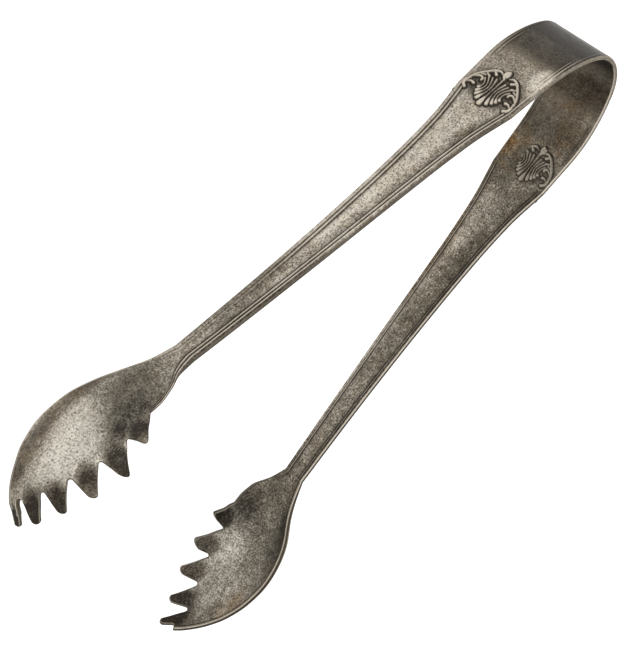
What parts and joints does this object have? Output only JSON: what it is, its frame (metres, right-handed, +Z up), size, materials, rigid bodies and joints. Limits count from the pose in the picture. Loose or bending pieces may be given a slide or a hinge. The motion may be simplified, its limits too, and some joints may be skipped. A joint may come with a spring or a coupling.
{
  "type": "sugar tongs",
  "caption": "One-piece spring tongs with a U-shaped bow, tapering arms with thread edges and shells at the shoulders, and cupped claws with toothed edges.",
  "frame": {"origin": "middle of the bounding box, on the strip's centre plane", "axes": "+X from the bow's crown to the tips of the claws, +Y to the right arm, +Z up, across the strip; the left half is the right half turned half a turn about X"},
  "size_m": [0.1659, 0.0916, 0.0236],
  "materials": {
    "silver_plate": "tarnished and finely pitted silver plate over a brass strip, bright on the worn edges and dark in the recesses"
  },
  "bodies": {
    "bow": {"spring_bow": "silver_plate"},
    "left_side": {"left_arm": "silver_plate", "left_claw": "silver_plate", "left_outer_shell": "silver_plate", "left_inner_shell": "silver_plate"},
    "right_side": {"right_arm": "silver_plate", "right_claw": "silver_plate", "right_outer_shell": "silver_plate", "right_inner_shell": "silver_plate"}
  },
  "joints": [
    {"name": "left_flex", "type": "hinge", "parent": "bow", "child": "left_side", "pos_m": [-0.07888, -0.00806, 0], "axis": [0, 0, 1], "range_deg": [0, 14], "stiffness_Nm_per_rad": 4, "deforming": ["spring_bow"]},
    {"name": "right_flex", "type": "hinge", "parent": "bow", "child": "right_side", "pos_m": [-0.07888, 0.00806, 0], "axis": [0, 0, -1], "range_deg": [0, 14], "stiffness_Nm_per_rad": 4, "deforming": ["spring_bow"]}
  ],
  "couplings": [
    {"joint": "right_flex", "follows": "left_flex", "ratio": 1}
  ]
}
